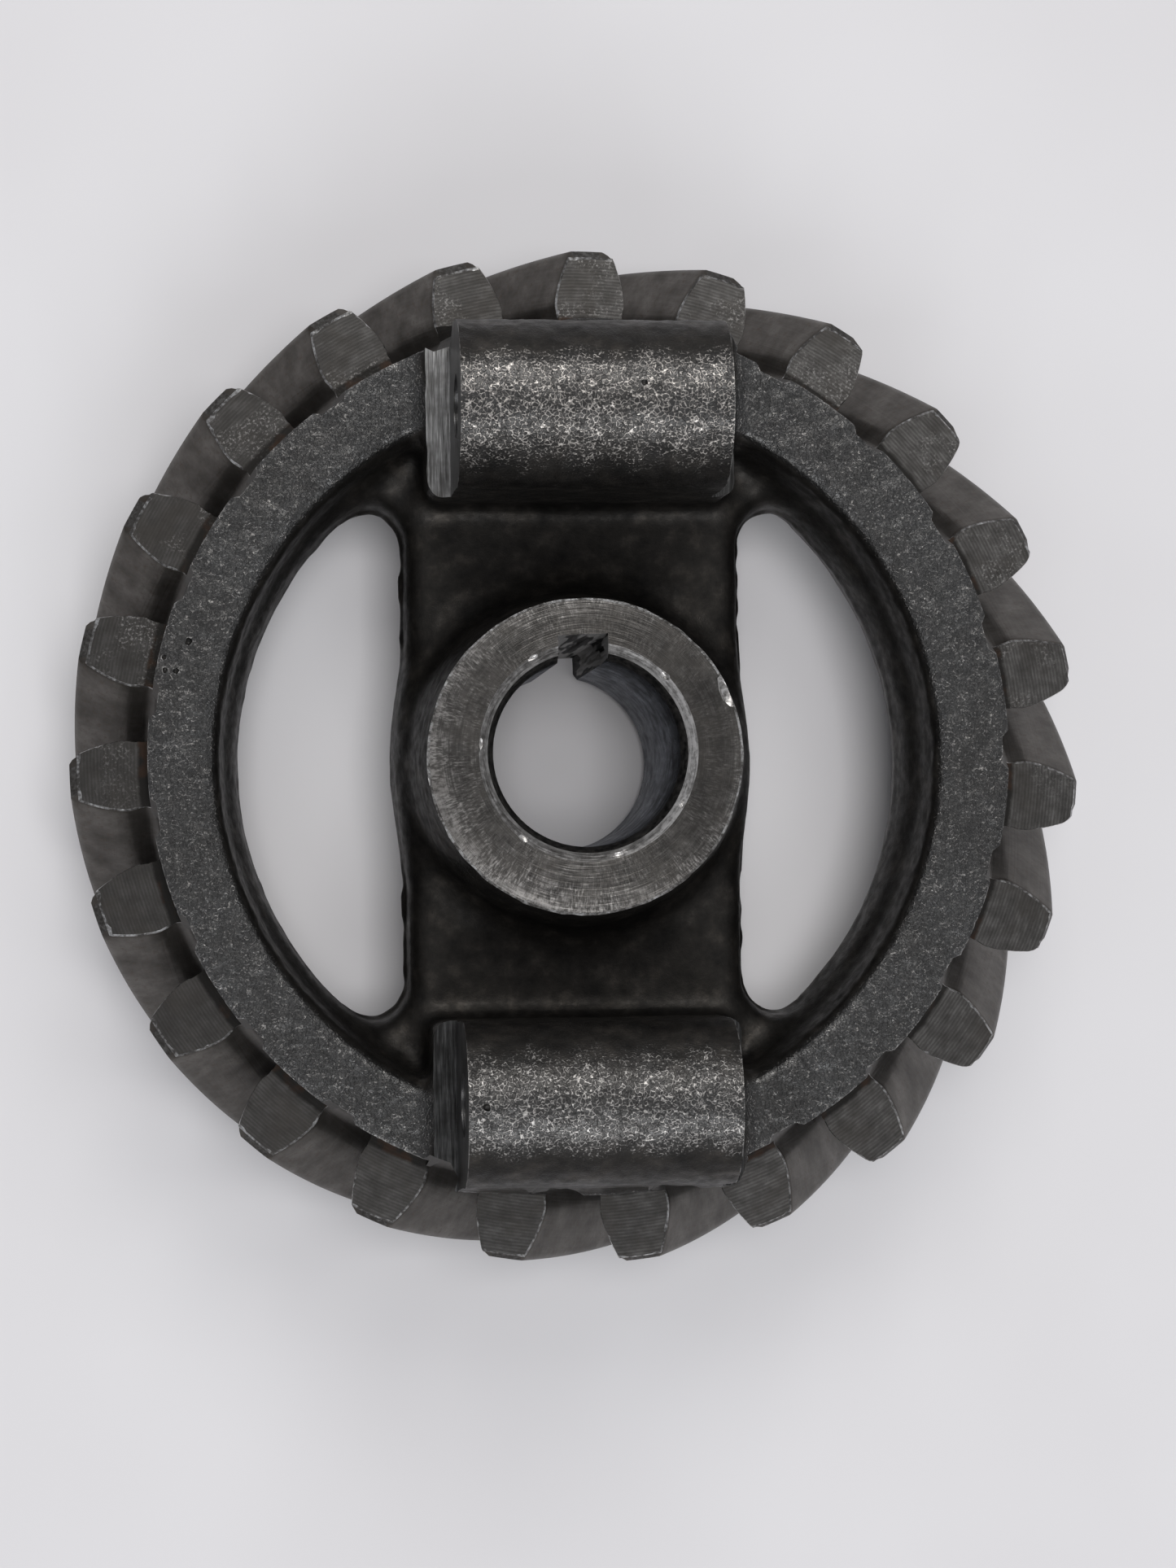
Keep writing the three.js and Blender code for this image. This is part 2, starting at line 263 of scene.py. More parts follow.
def blurred(values, cells):
    """A running mean of a grid over a cube of 2 * cells + 1, taken along each axis in turn."""
    for axis in range(3):
        count = values.shape[axis]
        total = np.cumsum(values, axis=axis, dtype=np.float64)
        high = np.take(total, np.minimum(np.arange(count) + cells, count - 1), axis=axis)
        low = np.take(total, np.maximum(np.arange(count) - cells - 1, 0), axis=axis)
        values = ((high - low) / (2 * cells + 1)).astype(np.float32)
    return values


# ---- solids that cut or part the casting
def piece(name, points, faces, *materials):
    """A new object from points in millimetres, with its faces turned outward."""
    mesh = bpy.data.meshes.new(name)
    mesh.from_pydata((np.asarray(points, float) * MM).tolist(), [], faces)
    work = bmesh.new()
    work.from_mesh(mesh)
    bmesh.ops.recalc_face_normals(work, faces=work.faces)
    work.to_mesh(mesh)
    work.free()
    for material in materials:
        mesh.materials.append(material)
    obj = bpy.data.objects.new(name, mesh)
    bpy.context.collection.objects.link(obj)
    return obj


def tube_faces(rings, sides, closed):
    """Quads between rings of points with equal numbers of sides. The last ring meets the first."""
    faces = []
    for i in range(rings):
        for j in range(sides if closed else sides - 1):
            k = (j + 1) % sides
            below = (i + 1) % rings
            faces.append([i * sides + j, i * sides + k, below * sides + k, below * sides + j])
    return faces


def turned(profile, material, sides=192, start=0.0, sweep=TAU, accents=None):
    """A ring turned about Z from a closed outline of [radius, height], or a sector of one.

    Accents maps the number of a stretch of the outline to a material of its own."""
    whole = sweep >= TAU
    count = sides if whole else sides + 1
    angles = [start + sweep * j / sides for j in range(count)]
    points = [[r * math.cos(a), r * math.sin(a), z] for r, z in profile for a in angles]
    faces = tube_faces(len(profile), count, whole)
    if not whole:
        faces.append([i * count for i in range(len(profile))])
        faces.append([i * count + count - 1 for i in reversed(range(len(profile)))])
    accents = accents or {}
    made = piece("turned", points, faces, material, *accents.values())
    across = count if whole else count - 1
    for slot, stretch in enumerate(accents, 1):
        for j in range(across):
            made.data.polygons[stretch * across + j].material_index = slot
    return made


def prism(outline, low, high, material, place=lambda x, y, z: [x, y, z]):
    """An outline carried from one height to another, each point then put in its place."""
    count = len(outline)
    points = [place(x, y, z) for z in (low, high) for x, y in outline]
    sides = [[j, (j + 1) % count, (j + 1) % count + count, j + count] for j in range(count)]
    return piece("prism", points, sides + [list(range(count)), list(range(count, 2 * count))], material)


def rectangle(x0, x1, y0, y1):
    """A closed outline, anticlockwise."""
    return [(x0, y0), (x1, y0), (x1, y1), (x0, y1)]


def circle(radius, x=0.0, y=0.0, sides=96):
    """A closed outline about a centre, anticlockwise."""
    return [(x + radius * math.cos(TAU * j / sides), y + radius * math.sin(TAU * j / sides))
            for j in range(sides)]


def combine(body, tool, operation):
    """Cut, join or keep the common part of two solids. The tool is used up."""
    modifier = body.modifiers.new("boolean", "BOOLEAN")
    modifier.object = tool
    modifier.operation = operation
    modifier.solver = "MANIFOLD"
    modifier.material_mode = "TRANSFER"
    graph = bpy.context.evaluated_depsgraph_get()
    mesh = bpy.data.meshes.new_from_object(body.evaluated_get(graph))
    body.modifiers.clear()
    body.data = mesh
    bpy.data.objects.remove(tool)
    return body


def copy_of(body, name):
    """A second object with a mesh of its own."""
    twin = bpy.data.objects.new(name, body.data.copy())
    bpy.context.collection.objects.link(twin)
    return twin


def involute(angle):
    return math.tan(angle) - angle


def half_tooth(radius):
    """Half of the angle that a tooth covers at a radius. Below the base circle it stays radial."""
    at_pitch = involute(math.acos(BASE_RADIUS / PITCH_RADIUS))
    here = involute(math.acos(min(1.0, BASE_RADIUS / radius)))
    return PITCH_THICKNESS / 2 / PITCH_RADIUS + at_pitch - here


def twist(z):
    """How far the left-hand helix has turned at a height, from the teeth's upper ends."""
    return -TWIST_PER_MM * (z - TOOTH_TOP)


def run_out(z):
    """How far the cutter's round path has swung outward at a height."""
    past = np.clip(z - HOB_STOP, 0.0, HOB_RADIUS * 0.9)
    return HOB_RADIUS - math.sqrt(HOB_RADIUS**2 - past**2)


def hob_gap(index, material):
    """The way that the gear cutter leaves clear above one tooth gap, curving outward as it runs out."""
    radii = np.linspace(FOOT_RADIUS, 72.0, 12)
    centre = FIRST_TOOTH + (index + 0.5) * TAU / TEETH
    half_pitch = TAU / TEETH / 2
    half = [half_pitch - half_tooth(min(r, TIP_RADIUS)) for r in radii]
    floor = half[0] - ROOT_FILLET / ROOT_RADIUS
    outline = [(ROOT_RADIUS, -floor), *[(r, -h) for r, h in zip(radii, half)],
               *[(r, h) for r, h in zip(radii[::-1], half[::-1])], (ROOT_RADIUS, floor)]
    heights = np.linspace(TOOTH_TOP - 1, ABOVE_ALL, 16)
    points = []
    for z in heights:
        for r, offset in outline:
            angle = centre + offset + twist(z)
            reach = r + run_out(z)
            points.append([reach * math.cos(angle), reach * math.sin(angle), z])
    count = len(outline)
    faces = tube_faces(len(heights), count, True)[:-count]
    faces += [list(range(count)), list(range(len(points) - count, len(points)))]
    return piece("hob_gap", points, faces, material)


def bore_tool(skin):
    """What the bore, its bevel, lead-in and flare, and the keyway take out of the hub."""
    foot = HUB_TOP - BEVEL_DEPTH
    tool = turned([(1, -4), (FLARE_RADIUS, -4), (FLARE_RADIUS, 0), (BORE_RADIUS, FLARE_HEIGHT),
                   (BORE_RADIUS, foot - LEAD_IN_DEPTH), (BEVEL_INNER, foot)]
                  + [(BEVEL_OUTER, HUB_TOP), (BEVEL_OUTER, HUB_TOP + 4), (1, HUB_TOP + 4)], skin["bore"],
                  accents={4: skin["lead_in"], 5: skin["bevel"]})
    tool = combine(tool, prism(circle(2, sides=24), -4, HUB_TOP + 4, skin["bore"]), "UNION")
    half = KEY_WIDTH / 2
    cos, sin = math.cos(KEY_ANGLE), math.sin(KEY_ANGLE)
    slot = [(x * cos - y * sin, x * sin + y * cos) for x, y in rectangle(-half, half, 0, KEY_REACH)]
    return combine(tool, prism(slot, -4, HUB_TOP + 4, skin["keyway"]), "UNION")


def bruise(centre, size, material, seed):
    """A rough pebble to knock out of an edge, with its half sizes in millimetres."""
    rng = np.random.default_rng(seed)
    work = bmesh.new()
    bmesh.ops.create_icosphere(work, subdivisions=2, radius=1)
    points = [np.array(vert.co) * rng.uniform(0.82, 1.12) for vert in work.verts]
    faces = [[vert.index for vert in face.verts] for face in work.faces]
    work.free()
    around = math.atan2(centre[1], centre[0])
    cos, sin = math.cos(around), math.sin(around)
    placed = [[centre[0] + x * size[0] * cos - y * size[1] * sin,
               centre[1] + x * size[0] * sin + y * size[1] * cos,
               centre[2] + z * size[2]] for x, y, z in points]
    return piece("bruise", placed, faces, material)


def polar(radius, degrees, z, x=0.0, y=0.0):
    """A point at a radius and an angle about a centre."""
    angle = math.radians(degrees)
    return x + radius * math.cos(angle), y + radius * math.sin(angle), z


def bruises(skin):
    """Knocks on the hub's edges: [radius, degrees, radial size, size along the edge, depth]."""
    outer = [(20.15, 24, 1.6, 2.5, 1.0), (20.55, 189, 0.8, 1.1, 0.6), (20.65, 200, 0.7, 1.9, 0.6),
             (20.55, 214, 0.5, 1.0, 0.5), (20.55, 246, 0.6, 1.4, 0.5), (20.45, 322, 0.5, 1.2, 0.5),
             (20.45, 141, 0.5, 1.2, 0.4), (20.55, 62, 0.5, 0.9, 0.4)]
    inner = [(13.3, 286, 0.6, 1.3, 0.7), (13.5, 232, 0.5, 0.8, 0.5), (13.4, 331, 0.5, 1.0, 0.5),
             (13.5, 175, 0.4, 0.9, 0.5), (13.6, 44, 0.5, 0.9, 0.5), (13.7, 120, 0.4, 0.8, 0.4)]
    made = [bruise(polar(r, a, HUB_TOP, CAST_X, CAST_Y), (w, d, h), skin["bruise"], 40 + i)
            for i, (r, a, w, d, h) in enumerate(outer)]
    return made + [bruise(polar(r, a, HUB_TOP), (w, d, h), skin["bruise"], 60 + i)
                   for i, (r, a, w, d, h) in enumerate(inner)]


def pits(skin):
    """Blow holes in the cast skin: four on the ring's left side, one on each boss, painted near black
    inside as shade.
    """
    crest = BOSS_AXIS_HEIGHT + BOSS_RADIUS
    places = [((-49.9, 14.6, RING_TOP), 0.50), ((-51.5, 10.9, RING_TOP), 0.40),
              ((-53.0, 12.6, RING_TOP), 0.32), ((-52.9, 11.0, RING_TOP), 0.36),
              ((5.5, 44.0, crest), 0.42), ((-14.6, -43.2, crest), 0.46)]
    return [bruise(place, (size, size * 1.1, size), skin["lead_in"], 80 + i)
            for i, (place, size) in enumerate(places)]


def hob_gaps(skin):
    """All the ways that the gear cutter leaves clear, as one solid."""
    tool = hob_gap(0, skin["hobbed"])
    for index in range(1, TEETH):
        tool = combine(tool, hob_gap(index, skin["hobbed"]), "UNION")
    return tool


def boss_end(side, end, skin):
    """The block milled off one end of a boss, down to its ledge."""
    near = BOSS_X + end * BOSS_LENGTH / 2
    far = BOSS_X + end * (PEDESTAL_LENGTH / 2 + 5)
    x0, x1 = sorted((near, far))
    y0, y1 = sorted((side * 27, side * 62))
    # The milled ends take a darker copy of the milled finish: stains, and painted shade where the ends
    # stand in shadow.
    block = prism(rectangle(x0, x1, y0, y1), LEDGE_TOP, ABOVE_ALL + 4, skin["stained_and_shaded"])
    if side > 0 and end < 0:
        # The prism's first end is the ledge, and on this one it keeps the clean milled finish, without
        # stain or painted shade.
        block.data.materials.append(skin["milled"])
        block.data.polygons[len(rectangle(x0, x1, y0, y1))].material_index = 1
    return block


def pin_bore(side, skin):
    """The round bar that drills a boss for its pin."""
    centre = BOSS_Y + side * BOSS_DISTANCE
    outline = circle(PIN_RADIUS, centre, BOSS_AXIS_HEIGHT, sides=72)
    reach = PEDESTAL_LENGTH / 2 + 6
    return prism(outline, -reach, reach, skin["drilled"], place=lambda y, z, x: [x, y, z])


def machining(skin):
    """Everything that is cut away from the casting, as one solid."""
    over = 6
    past_hub = 27
    burr_depth = 0.06
    burr_width = 0.28
    ring_arc = math.radians(68.5)
    step = rectangle(RING_RADIUS, RING_RADIUS + over, TOOTH_TOP - 1, RING_TOP + 1.2)
    tools = [turned(step, skin["step"], sides=96, start=middle - ring_arc, sweep=2 * ring_arc)
             for middle in (0, math.pi)]
    tools += [
        hob_gaps(skin),
        turned(rectangle(SPLIT_RADIUS, SPLIT_RADIUS + 14, -4, TOOTH_TOP), skin["end_face"]),
        turned(rectangle(40, SPLIT_RADIUS + 1, -5, TOOTH_BOTTOM), skin["end_face"]),
        prism(circle(past_hub), HUB_TOP, HUB_TOP + 5, skin["rim_burr"]),
        prism(circle(HUB_RADIUS - burr_width, CAST_X, CAST_Y, 160),
              HUB_TOP - burr_depth, HUB_TOP + 5, skin["turned"]),
        prism(circle(past_hub), -6, 0, skin["turned"]),
        bore_tool(skin),
    ]
    for side in (1, -1):
        tools += [boss_end(side, end, skin) for end in (1, -1)]
    result = tools[0]
    for tool in tools[1:]:
        result = combine(result, tool, "UNION")
    for extra in [pin_bore(1, skin), pin_bore(-1, skin), *bruises(skin), *pits(skin)]:
        result = combine(result, extra, "UNION")
    return result


# ---- the tooth ring
# The gap widens a little below the base circle. Tip corners are worn round, most at the right.
# The tip chamfer is widest at one side of the gear.
UNDERCUT = 0.12
FILLET_STEPS = 5
FLANK_STEPS = 24
TIP_STEPS = 7
FACE_STEPS = 24
EDGE_BEVEL = 0.16
EDGE_WEAR = 0.4
EXTRA_WEAR = 1.3
WIDE_CHAMFER_AT = math.radians(148)
TIP_LINE = 0.06
END_SLOT, FLANK_SLOT, TIP_SLOT, BURR_SLOT, PARTING_SLOT = range(5)


def gap_side():
    """Points up one side of a tooth gap, as [radius, angle from the gap's middle]."""
    half_pitch = TAU / TEETH / 2
    wall = half_pitch - half_tooth(FOOT_RADIUS) + UNDERCUT * (BASE_RADIUS - FOOT_RADIUS) / FOOT_RADIUS
    floor = wall - ROOT_FILLET / ROOT_RADIUS
    rounds = [math.radians(20 * i) for i in range(FILLET_STEPS)]
    fillet = [(FOOT_RADIUS - (FOOT_RADIUS - ROOT_RADIUS) * math.cos(a),
               floor + (wall - floor) * math.sin(a)) for a in rounds]
    flank = [(r, half_pitch - half_tooth(r) + UNDERCUT * max(0.0, BASE_RADIUS - r) / r)
             for r in np.linspace(FOOT_RADIUS, TIP_RADIUS, FLANK_STEPS)]
    return [(ROOT_RADIUS, floor / 2), *fillet, *flank]


def worn(radius, wear):
    """How far a tip corner worn round by that much has drawn in from the sharp one."""
    past = max(0.0, radius - (TIP_RADIUS - wear))
    return wear - math.sqrt(max(0.0, wear**2 - past**2))


def outline_of_teeth():
    """The toothed outline, anticlockwise, as [radius, angle] and the kind of each stretch."""
    points, kinds = [], []
    for index in range(TEETH):
        centre = FIRST_TOOTH + (index + 0.5) * TAU / TEETH
        for direction in (-1, 1):
            wear = EDGE_WEAR + EXTRA_WEAR * max(0.0, math.cos(centre)) * (direction > 0)
            rows = [(r, centre + direction * (a + worn(r, wear) / r)) for r, a in gap_side()]
            rows = rows if direction > 0 else rows[::-1]
            kinds += ["flank"] * len(rows)
            points += rows
        start = points[-1][1]
        next_centre = centre + TAU / TEETH
        end = next_centre - (TAU / TEETH / 2 - half_tooth(TIP_RADIUS)) - EDGE_WEAR / TIP_RADIUS
        points += [(TIP_RADIUS, start + (end - start) * t)
                   for t in np.linspace(0, 1, TIP_STEPS + 2)[1:-1]]
        kinds += ["tip"] * TIP_STEPS
    return np.array(points), kinds


def strand(count, cell, rng):
    """Smooth random values from -1 to 1 around a closed line of points."""
    knots = rng.uniform(-1, 1, max(4, int(count / cell)))
    place = np.arange(count) * len(knots) / count
    low = place.astype(int)
    part = eased(place - low)
    return knots[low] * (1 - part) + knots[(low + 1) % len(knots)] * part


def inward(points):
    """Unit vectors into the metal at each point of a closed anticlockwise line."""
    along = np.roll(points, -1, 0) - np.roll(points, 1, 0)
    return np.stack([-along[:, 1], along[:, 0]], 1) / np.linalg.norm(along, axis=1)[:, None]


def ring_layer(outline, on_tip, chip, level):
    """The toothed outline at one height: drawn in by the edge bevel, its chips and the tip chamfer."""
    face = TOOTH_TOP - TOOTH_BOTTOM
    depth = min(level, face - level)
    deep = np.where(on_tip & (depth == EDGE_BEVEL), TIP_LINE, depth)
    z = TOOTH_BOTTOM + np.where(level < face / 2, deep, face - deep)
    angle = outline[:, 1] + twist(z)
    slope = 1.35 + 0.7 * np.cos(angle - WIDE_CHAMFER_AT)
    limit = TIP_RADIUS - np.maximum(0.0, TIP_CHAMFER - deep) * slope
    radius = np.minimum(outline[:, 0], limit)
    if depth < EDGE_BEVEL:
        drawn_in = EDGE_BEVEL - depth + chip
    else:
        drawn_in = chip * (depth == EDGE_BEVEL) * 0.5
    drawn_in = np.where(on_tip | (outline[:, 0] < FOOT_RADIUS + 0.5), 0.0, drawn_in)
    plan = np.stack([radius * np.cos(angle), radius * np.sin(angle)], 1)
    return np.column_stack([plan + inward(plan) * drawn_in[:, None], z])


def tooth_ring(skin):
    """The teeth and the band under them. Each end face is one planar polygon per tooth gap."""
    outline, kinds = outline_of_teeth()
    on_tip = np.array([kind == "tip" for kind in kinds])
    count = len(outline)
    chip = np.clip(strand(count, 2.2, np.random.default_rng(5)) - 0.62, 0, 1) * 0.55
    face = TOOTH_TOP - TOOTH_BOTTOM
    depths = [0.0, EDGE_BEVEL, TIP_CHAMFER]
    between = np.linspace(TIP_CHAMFER, face - TIP_CHAMFER, FACE_STEPS + 2)[1:-1]
    layers = [*depths, *between, *[face - depth for depth in depths[::-1]]]
    points = [point for level in layers for point in ring_layer(outline, on_tip, chip, level).tolist()]
    pitch = count // TEETH
    gap_middle = kinds.index("tip") // 2
    for z in (TOOTH_TOP, TOOTH_BOTTOM):
        angle = outline[gap_middle, 1] + TAU * (np.arange(count) - gap_middle) / count + twist(z)
        plan = SPLIT_RADIUS * np.stack([np.cos(angle), np.sin(angle)], 1)
        points += np.column_stack([plan, np.full(count, z)]).tolist()
    top = len(layers) - 1
    strips = tube_faces(len(layers) + 2, count, True)
    faces = strips[:top * count] + strips[(top + 1) * count:(top + 2) * count]
    for index in range(TEETH):
        across = [(gap_middle + index * pitch + k) % count for k in range(pitch + 1)]
        for outer, inner in ((top, top + 1), (0, top + 2)):
            faces.append([outer * count + j for j in across] + [inner * count + j for j in across[::-1]])
    ring = piece("tooth_ring_cut", points, faces,
                 skin["end_face"], skin["flank"], skin["tip"], skin["burr"], skin["parting"])
    slots = []
    for layer in range(top):
        if layer in (0, top - 1):
            slots += [BURR_SLOT] * count
        else:
            slots += [TIP_SLOT if kind == "tip" else FLANK_SLOT for kind in kinds]
    slots += [PARTING_SLOT] * count + [END_SLOT] * (2 * TEETH)
    ring.data.polygons.foreach_set("material_index", slots)
    return ring


# ---- materials
class Finish:
    """A Principled material whose textures are laid out in millimetres of the part's own frame."""

    def __init__(self, name, metallic, roughness, specular=0.5):
        self.material = bpy.data.materials.new(name)
        self.material.use_nodes = True
        self.tree = self.material.node_tree
        self.shader = self.tree.nodes["Principled BSDF"]
        self.shader.inputs["Metallic"].default_value = metallic
        self.shader.inputs["Roughness"].default_value = roughness
        self.shader.inputs["Specular IOR Level"].default_value = specular
        place = self.node("ShaderNodeTexCoord").outputs["Object"]
        scaled = self.node("ShaderNodeVectorMath", {0: place, "Scale": 1 / MM}, operation="SCALE")
        self.place = scaled.outputs[0]

    def node(self, kind, inputs=None, **settings):
        made = self.tree.nodes.new(kind)
        for key, value in settings.items():
            setattr(made, key, value)
        for key, value in (inputs or {}).items():
            if isinstance(value, bpy.types.NodeSocket):
                self.tree.links.new(value, made.inputs[key])
            else:
                made.inputs[key].default_value = value
        return made

    def math(self, operation, a, b=0.0):
        return self.node("ShaderNodeMath", {0: a, 1: b}, operation=operation).outputs[0]

    def add(self, a, b):
        return self.math("ADD", a, b)

    def times(self, a, b):
        return self.math("MULTIPLY", a, b)

    def noise(self, scale, detail=2.0, rough=0.5, place=None):
        return self.node("ShaderNodeTexNoise", {
            "Vector": place or self.place, "Scale": scale, "Detail": detail, "Roughness": rough}).outputs[0]

    def cells(self, scale):
        """Distance to the nearest border between random cells, and each cell's own random shade."""
        warp = self.node("ShaderNodeTexNoise", {"Vector": self.place, "Scale": 1.3}).outputs["Color"]
        bent = self.node("ShaderNodeVectorMath", {0: warp, 1: (0.5, 0.5, 0.5), 2: self.place},
                         operation="MULTIPLY_ADD").outputs[0]
        inputs = {"Vector": bent, "Scale": scale}
        border = self.node("ShaderNodeTexVoronoi", inputs, feature="DISTANCE_TO_EDGE")
        shade = self.node("ShaderNodeTexVoronoi", inputs, feature="F1")
        return border.outputs["Distance"], shade.outputs["Color"]

    def axis(self, letter):
        return self.node("ShaderNodeSeparateXYZ", {0: self.place}).outputs[letter]

    def radius(self):
        """Distance from the bore's axis."""
        squares = [self.times(self.axis(letter), self.axis(letter)) for letter in "XY"]
        return self.math("SQRT", self.add(*squares))

    def around(self, turns, outward=0.0, up=0.0):
        """Texture coordinates that run round the bore's axis, outward from it and up it."""
        radius = self.radius()
        across = [self.times(self.math("DIVIDE", self.axis(letter), radius), turns)
                  for letter in "XY"]
        away = self.times(radius, outward)
        last = self.add(away, self.times(self.axis("Z"), up))
        return self.node("ShaderNodeCombineXYZ", {0: across[0], 1: across[1], 2: last}).outputs[0]

    def stretched(self, x, y, z):
        """Texture coordinates scaled along each axis."""
        scaled = self.node("ShaderNodeVectorMath", {0: self.place, 1: (x, y, z)}, operation="MULTIPLY")
        return scaled.outputs[0]

    def stored(self, name):
        """A value stored on the mesh."""
        return self.node("ShaderNodeAttribute", attribute_name=name).outputs["Fac"]

    def span(self, value, low, high, to_low=0.0, to_high=1.0):
        """A value carried from one range to another, and held inside the new one."""
        return self.node("ShaderNodeMapRange", {
            "Value": value, "From Min": low, "From Max": high, "To Min": to_low, "To Max": to_high},
            interpolation_type="SMOOTHSTEP").outputs[0]

    def ramp(self, value, *stops):
        """A value turned into colours, from stops of position and colour."""
        made = self.node("ShaderNodeValToRGB", {0: value})
        elements = made.color_ramp.elements
        while len(elements) < len(stops):
            elements.new(0.5)
        for element, (position, colour) in zip(elements, stops):
            element.position = position
            element.color = (*colour, 1)
        return made.outputs[0]

    def mix(self, share, a, b):
        made = self.node("ShaderNodeMix", {0: share}, data_type="RGBA")
        for key, value in ((6, a), (7, b)):
            if isinstance(value, bpy.types.NodeSocket):
                self.tree.links.new(value, made.inputs[key])
            else:
                made.inputs[key].default_value = (*value, 1)
        return made.outputs[2]

    def bump(self, height, depth, under=None):
        """Relief that stands the given depth in millimetres, over another relief if one is named."""
        inputs = {"Height": height, "Distance": depth * MM, "Strength": 1.0}
        if under:
            inputs["Normal"] = under
        return self.node("ShaderNodeBump", inputs).outputs[0]

    def finish(self, colour, normal=None, roughness=None):
        self.tree.links.new(colour, self.shader.inputs["Base Color"])
        if normal:
            self.tree.links.new(normal, self.shader.inputs["Normal"])
        if roughness:
            self.tree.links.new(roughness, self.shader.inputs["Roughness"])
        return self.material


def grey(value, warm=0.0):
    """A grey, with its red raised and its blue lowered by a share."""
    return (value * (1 + warm), value, value * (1 - warm))


def cast_skin():
    """Sand-cast skin: dimpled where it stands proud, with painted glints there; smooth and near black where
    oil and painted shade lie, with painted shade in creases.
    """
    f = Finish("cast_skin", 0.85, 0.36)
    oil_and_shade = f.stored("oil_and_shade")
    dry_and_unshaded = f.math("SUBTRACT", 1.0, oil_and_shade)
    border, shade = f.cells(1.9)
    ridge = f.span(border, 0.16, 0.02)
    grit = f.noise(3.2, 3.0, 0.6)
    lumps = f.noise(0.5, 3.0)
    stain = f.noise(0.09, 3.0, 0.6)
    wear = f.noise(0.8, 3.0)
    raised = f.span(f.axis("Z"), 40.5, 45.0)
    # Painted glints: bright arcs on the cell ridges, densest on raised, unshaded skin, near the bosses'
    # crests and in the band where they face their lights.
    density = f.times(f.add(raised, 0.6), f.span(dry_and_unshaded, 0.0, 0.9, 0.0, 0.07))
    density = f.add(density, f.span(f.axis("Z"), 55.0, 62.0, 0.0, 0.025))
    arcs = f.times(f.noise(1.1, 2.0), 0.3)
    arcs = f.add(arcs, f.times(f.noise(3.4, 2.0), 0.55))
    arcs = f.add(arcs, f.times(shade, 0.15))
    painted_glint = f.times(f.span(f.add(arcs, density), 0.54, 0.72), ridge)
    painted_glint = f.times(painted_glint, f.span(dry_and_unshaded, 0.02, 0.3))
    ground = f.mix(raised, grey(0.104, 0.0), grey(0.088, 0.01))
    ground = f.mix(f.span(grit, 0.35, 0.65, 0.0, 0.5), ground, grey(0.045, 0.02))
    ground = f.mix(f.span(stain, 0.35, 0.7, 0.0, 0.35), ground, grey(0.055, 0.06))
    film = f.noise(0.3, 4.0, 0.62)
    wet_and_shaded = f.ramp(film, (0.3, grey(0.018, 0.05)), (0.55, grey(0.034, 0.09)), (0.8, grey(0.075, 0.12)))
    # Where oil and painted shade lie, the skin is smooth and near black.
    colour = f.mix(oil_and_shade, ground, wet_and_shaded)
    # Painted shade: near black in creases and recesses, where metal stands close all round.
    colour = f.mix(f.span(f.stored("crease_shade"), 0.06, 0.34), colour, grey(0.010))
    # Sharp edges go light grey in broken dashes: partly wear, partly painted edge highlights.
    rubbed_and_highlit = f.times(f.span(f.stored("edge"), 0.45, 1.0), f.span(wear, 0.42, 0.62, 0.0, 0.8))
    colour = f.mix(rubbed_and_highlit, colour, grey(0.34, 0.02))
    # Painted glints are lighter towards +Y, on the upper boss.
    lit = f.mix(f.span(f.axis("Y"), -30.0, 30.0), grey(0.50, 0.04), grey(0.60, 0.06))
    colour = f.mix(painted_glint, colour, f.mix(raised, grey(0.34, 0.04), lit))
    relief = f.add(f.times(grit, 0.5), ridge)
    coarse = f.times(f.span(dry_and_unshaded, 0.0, 1.0, 0.12, 1.0), f.span(f.axis("Z"), 38.0, 43.0, 0.5, 1.0))
    smooth = f.times(lumps, f.span(dry_and_unshaded, 0.0, 1.0, 0.15, 1.0))
    normal = f.bump(f.times(relief, coarse), 0.09, f.bump(smooth, 0.28))
    rough = f.add(f.span(wear, 0.3, 0.7, 0.28, 0.42), f.times(oil_and_shade, 0.16))
    return f.finish(colour, normal, rough)


def turned_face():
    """Faced in the lathe, then scuffed outward from the bore."""
    f = Finish("turned_face", 0.9, 0.34)
    rings = f.noise(1.0, 2.0, 0.6, f.around(1.4, outward=7.0))
    scuffs = f.noise(1.0, 3.0, 0.65, f.around(75.0, outward=1.3))
    scuffed = f.span(f.noise(0.24, 3.0), 0.40, 0.60, 0.22, 0.75)
    blotch = f.noise(0.2, 3.0, 0.6)
    mottle = f.noise(0.9, 4.0, 0.65)
    marks_and_sheen = f.mix(scuffed, f.mix(0.35, mottle, rings), scuffs)
    # Painted light: the face is lighter towards its outer edge and towards -X and -Y.
    marks_and_sheen = f.add(marks_and_sheen, f.span(f.radius(), 16.0, 21.0, -0.06, 0.07))
    painted_light_lean = f.add(f.times(f.axis("X"), -0.0022), f.times(f.axis("Y"), -0.0012))
    marks_and_sheen = f.add(marks_and_sheen, painted_light_lean)
    colour = f.ramp(marks_and_sheen, (0.38, grey(0.07, 0.06)), (0.52, grey(0.135, 0.05)), (0.68, grey(0.44, 0.04)))
    colour = f.mix(f.span(blotch, 0.42, 0.66, 0.0, 0.45), colour, grey(0.075, 0.09))
    normal = f.bump(rings, 0.045, f.bump(marks_and_sheen, 0.03))
    return f.finish(colour, normal, f.span(blotch, 0.3, 0.7, 0.28, 0.42))


